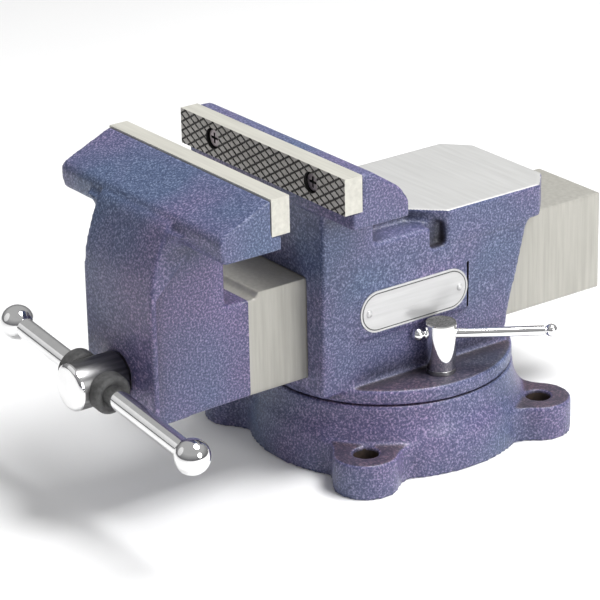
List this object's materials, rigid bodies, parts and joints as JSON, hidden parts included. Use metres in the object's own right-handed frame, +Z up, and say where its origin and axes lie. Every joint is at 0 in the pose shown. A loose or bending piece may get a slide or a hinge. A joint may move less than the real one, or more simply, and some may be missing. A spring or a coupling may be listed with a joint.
{
  "type": "bench vise",
  "caption": "Bench vise on a swivel base: sliding front jaw driven by a screw and cross handle, grooved jaw plates, flat anvil and lever-operated swivel locks.",
  "frame": {"origin": "centre of the bench bolt pattern on the base's underside", "axes": "+Z up, +Y from the operator towards the anvil along the slide, +X to the right of the operator"},
  "size_m": [0.1855, 0.3449, 0.186],
  "materials": {
    "hammered_paint": "hammered enamel",
    "plate_steel": "ground",
    "black_steel": "blackened",
    "polished_plate": "polished",
    "machined_iron": "machined",
    "chrome": "polished",
    "rubber": "matte"
  },
  "bodies": {
    "base": {"swivel_base": "hammered_paint"},
    "vise_body": {"rear_body": "hammered_paint", "rear_jaw_plate": "plate_steel", "rear_jaw_screws": "black_steel", "nameplate": "polished_plate", "nameplate_rivets": "polished_plate", "spindle_nut": "machined_iron", "spindle_nut_bolt": "black_steel", "lock_washer_right": "machined_iron", "lock_washer_left": "machined_iron"},
    "front_jaw": {"front_jaw": "hammered_paint", "front_jaw_plate": "plate_steel", "front_jaw_screws": "black_steel"},
    "spindle": {"spindle_screw": "machined_iron", "spindle_head": "machined_iron", "thrust_washer": "black_steel", "retaining_spring": "black_steel", "retaining_collar": "black_steel", "collar_pin": "black_steel", "handle_ring_left": "rubber", "handle_ring_right": "rubber"},
    "handle": {"handle_bar": "chrome", "handle_ball_left": "chrome", "handle_ball_right": "chrome"},
    "lock_right": {"lock_screw_right": "chrome", "lock_lever_right": "chrome"},
    "lock_left": {"lock_screw_left": "chrome"},
    "lever_left": {"lock_lever_left": "chrome"},
    "nut_right": {"clamp_nut_right": "machined_iron"},
    "nut_left": {"clamp_nut_left": "machined_iron"}
  },
  "joints": [
    {"name": "swivel", "type": "hinge", "parent": "base", "child": "vise_body", "pos_m": [0, 0, 0.0405], "axis": [0, 0, 1], "continuous": true},
    {"name": "jaw_slide", "type": "slide", "parent": "vise_body", "child": "front_jaw", "axis": [0, 1, 0], "range_m": [-0.115, 0.035]},
    {"name": "spindle_turn", "type": "hinge", "parent": "front_jaw", "child": "spindle", "pos_m": [0, -0.19, 0.078], "axis": [0, 1, 0], "range_deg": [-8275, 2515]},
    {"name": "handle_slide", "type": "slide", "parent": "spindle", "child": "handle", "axis": [0.9934, 0, -0.1149], "range_m": [-0.061, 0.0465]},
    {"name": "lock_turn_right", "type": "hinge", "parent": "vise_body", "child": "lock_right", "pos_m": [0.0532, -0.0025, 0.06], "axis": [0, 0, 1], "range_deg": [-1, 38]},
    {"name": "lock_turn_left", "type": "hinge", "parent": "vise_body", "child": "lock_left", "pos_m": [-0.0532, 0.0025, 0.06], "axis": [0, 0, 1], "range_deg": [-10, 10]},
    {"name": "left_lever_slide", "type": "slide", "parent": "lock_left", "child": "lever_left", "axis": [0, 1, 0], "range_m": [-0.024, 0.024]},
    {"name": "clamp_lift_right", "type": "slide", "parent": "vise_body", "child": "nut_right", "axis": [0, 0, 1], "range_m": [-0.00019, 0.00001]},
    {"name": "clamp_lift_left", "type": "slide", "parent": "vise_body", "child": "nut_left", "axis": [0, 0, 1], "range_m": [-0.00005, 0.00005]}
  ],
  "couplings": [
    {"joint": "jaw_slide", "follows": "spindle_turn", "m_per_rad": 0.00079577},
    {"joint": "clamp_lift_right", "follows": "lock_turn_right", "m_per_rad": -0.00027852},
    {"joint": "clamp_lift_left", "follows": "lock_turn_left", "m_per_rad": -0.00027852}
  ]
}
